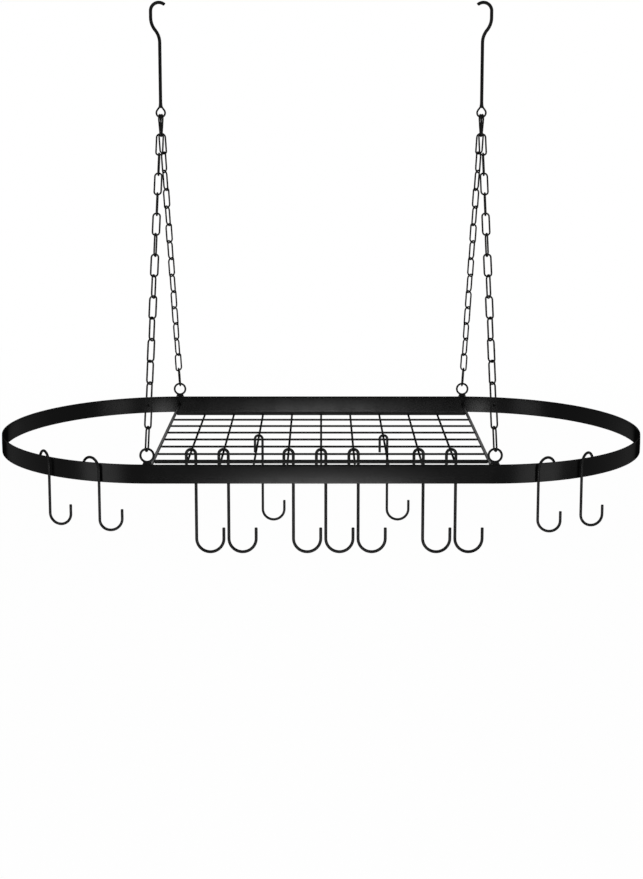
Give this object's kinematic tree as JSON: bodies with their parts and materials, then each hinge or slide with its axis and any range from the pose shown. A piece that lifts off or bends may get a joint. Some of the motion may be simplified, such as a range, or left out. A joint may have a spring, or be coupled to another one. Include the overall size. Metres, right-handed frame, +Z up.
{
  "type": "hanging pot rack",
  "caption": "Oval flat-bar pot rack with a welded wire grid, hung by link chains from two ceiling hooks, with loose hooks on the grid and over the rail.",
  "frame": {"origin": "midway between the two ceiling hooks, at the height of the underside of their crowns, where the ceiling's own hooks bear", "axes": "+X along the oval's length, to the right as pictured; +Y to the rear; +Z up"},
  "size_m": [0.838, 0.4381, 0.7016],
  "materials": {
    "hooks": "gloss black powder coat",
    "chain": "satin black coating",
    "frame": "satin black powder coat",
    "grid": "satin black powder coat"
  },
  "bodies": {
    "ceiling_hooks": {"ceiling_hook_left": "hooks", "ceiling_hook_right": "hooks"},
    "top_links": {"top_link_left_front": "chain", "top_link_left_rear": "chain", "top_link_right_front": "chain", "top_link_right_rear": "chain"},
    "left_chains": {"chain_left_front_links_02_03": "chain", "chain_left_front_links_04_05": "chain", "chain_left_front_links_06_07": "chain", "chain_left_front_links_08_09": "chain", "chain_left_front_links_10_11": "chain", "chain_left_front_links_12_13": "chain", "chain_left_front_links_14_15": "chain", "chain_left_front_link_16": "chain", "chain_left_rear_links_02_03": "chain", "chain_left_rear_links_04_05": "chain", "chain_left_rear_links_06_07": "chain", "chain_left_rear_links_08_09": "chain", "chain_left_rear_links_10_11": "chain", "chain_left_rear_links_12_13": "chain", "chain_left_rear_links_14_15": "chain", "chain_left_rear_link_16": "chain"},
    "rack": {"oval_ring": "frame", "wire_grid": "grid", "grid_side_rod_left": "grid", "grid_side_rod_right": "grid", "chain_eye_left_front": "frame", "chain_eye_left_rear": "frame", "chain_eye_right_front": "frame", "chain_eye_right_rear": "frame"},
    "right_chains": {"chain_right_front_links_02_03": "chain", "chain_right_front_links_04_05": "chain", "chain_right_front_links_06_07": "chain", "chain_right_front_links_08_09": "chain", "chain_right_front_links_10_11": "chain", "chain_right_front_links_12_13": "chain", "chain_right_front_links_14_15": "chain", "chain_right_front_link_16": "chain", "chain_right_rear_links_02_03": "chain", "chain_right_rear_links_04_05": "chain", "chain_right_rear_links_06_07": "chain", "chain_right_rear_links_08_09": "chain", "chain_right_rear_links_10_11": "chain", "chain_right_rear_links_12_13": "chain", "chain_right_rear_links_14_15": "chain", "chain_right_rear_link_16": "chain"},
    "grid_hook_1": {"grid_hook_1": "hooks"},
    "grid_hook_2": {"grid_hook_2": "hooks"},
    "grid_hook_3": {"grid_hook_3": "hooks"},
    "grid_hook_4": {"grid_hook_4": "hooks"},
    "grid_hook_5": {"grid_hook_5": "hooks"},
    "grid_hook_6": {"grid_hook_6": "hooks"},
    "grid_hook_7": {"grid_hook_7": "hooks"},
    "grid_hook_8": {"grid_hook_8": "hooks"},
    "grid_hook_9": {"grid_hook_9": "hooks"},
    "rim_hook_left_outer": {"rim_hook_left_outer": "hooks"},
    "rim_hook_left_inner": {"rim_hook_left_inner": "hooks"},
    "rim_hook_right_inner": {"rim_hook_right_inner": "hooks"},
    "rim_hook_right_outer": {"rim_hook_right_outer": "hooks"}
  },
  "joints": [
    {"name": "front_back_sway", "type": "hinge", "parent": "ceiling_hooks", "child": "top_links", "pos_m": [0, 0, -0.14263], "axis": [1, 0, 0], "range_deg": [-20, 20]},
    {"name": "side_sway", "type": "hinge", "parent": "top_links", "child": "left_chains", "pos_m": [-0.2065, 0, -0.16652], "axis": [0, 1, 0], "range_deg": [-12, 12]},
    {"name": "rack_stays_level", "type": "hinge", "parent": "left_chains", "child": "rack", "pos_m": [-0.2065, 0, -0.53866], "axis": [0, 1, 0], "range_deg": [-12, 12]},
    {"name": "right_chain_sway", "type": "hinge", "parent": "rack", "child": "right_chains", "pos_m": [0.2065, 0, -0.53866], "axis": [0, 1, 0], "range_deg": [-12, 12]},
    {"name": "grid_hook_1_swing", "type": "hinge", "parent": "rack", "child": "grid_hook_1", "pos_m": [-0.1656, -0.0848, -0.56086], "axis": [1, 0, 0], "range_deg": [-40, 40]},
    {"name": "grid_hook_2_swing", "type": "hinge", "parent": "rack", "child": "grid_hook_2", "pos_m": [-0.1242, -0.0848, -0.56086], "axis": [1, 0, 0], "range_deg": [-40, 40]},
    {"name": "grid_hook_3_swing", "type": "hinge", "parent": "rack", "child": "grid_hook_3", "pos_m": [-0.0828, 0, -0.56116], "axis": [1, 0, 0], "range_deg": [-40, 40]},
    {"name": "grid_hook_4_swing", "type": "hinge", "parent": "rack", "child": "grid_hook_4", "pos_m": [-0.0414, -0.0848, -0.56086], "axis": [1, 0, 0], "range_deg": [-40, 40]},
    {"name": "grid_hook_5_swing", "type": "hinge", "parent": "rack", "child": "grid_hook_5", "pos_m": [0, -0.0848, -0.56086], "axis": [1, 0, 0], "range_deg": [-40, 40]},
    {"name": "grid_hook_6_swing", "type": "hinge", "parent": "rack", "child": "grid_hook_6", "pos_m": [0.0414, -0.0848, -0.56086], "axis": [1, 0, 0], "range_deg": [-40, 40]},
    {"name": "grid_hook_7_swing", "type": "hinge", "parent": "rack", "child": "grid_hook_7", "pos_m": [0.0828, 0, -0.56116], "axis": [1, 0, 0], "range_deg": [-40, 40]},
    {"name": "grid_hook_8_swing", "type": "hinge", "parent": "rack", "child": "grid_hook_8", "pos_m": [0.1242, -0.0848, -0.56086], "axis": [1, 0, 0], "range_deg": [-40, 40]},
    {"name": "grid_hook_9_swing", "type": "hinge", "parent": "rack", "child": "grid_hook_9", "pos_m": [0.1656, -0.0848, -0.56086], "axis": [1, 0, 0], "range_deg": [-40, 40]},
    {"name": "rim_hook_left_outer_swivel", "type": "hinge", "parent": "rack", "child": "rim_hook_left_outer", "pos_m": [-0.33698, -0.16783, -0.54376], "axis": [0, 0, 1], "range_deg": [-140, 0]},
    {"name": "rim_hook_left_inner_swivel", "type": "hinge", "parent": "rack", "child": "rim_hook_left_inner", "pos_m": [-0.27539, -0.20218, -0.54376], "axis": [0, 0, 1], "range_deg": [-140, 0]},
    {"name": "rim_hook_right_inner_swivel", "type": "hinge", "parent": "rack", "child": "rim_hook_right_inner", "pos_m": [0.26972, -0.20412, -0.54376], "axis": [0, 0, 1], "range_deg": [0, 140]},
    {"name": "rim_hook_right_outer_swivel", "type": "hinge", "parent": "rack", "child": "rim_hook_right_outer", "pos_m": [0.32246, -0.17845, -0.54376], "axis": [0, 0, 1], "range_deg": [0, 140]}
  ],
  "couplings": [
    {"joint": "rack_stays_level", "follows": "side_sway", "ratio": -1},
    {"joint": "right_chain_sway", "follows": "side_sway", "ratio": 1}
  ]
}
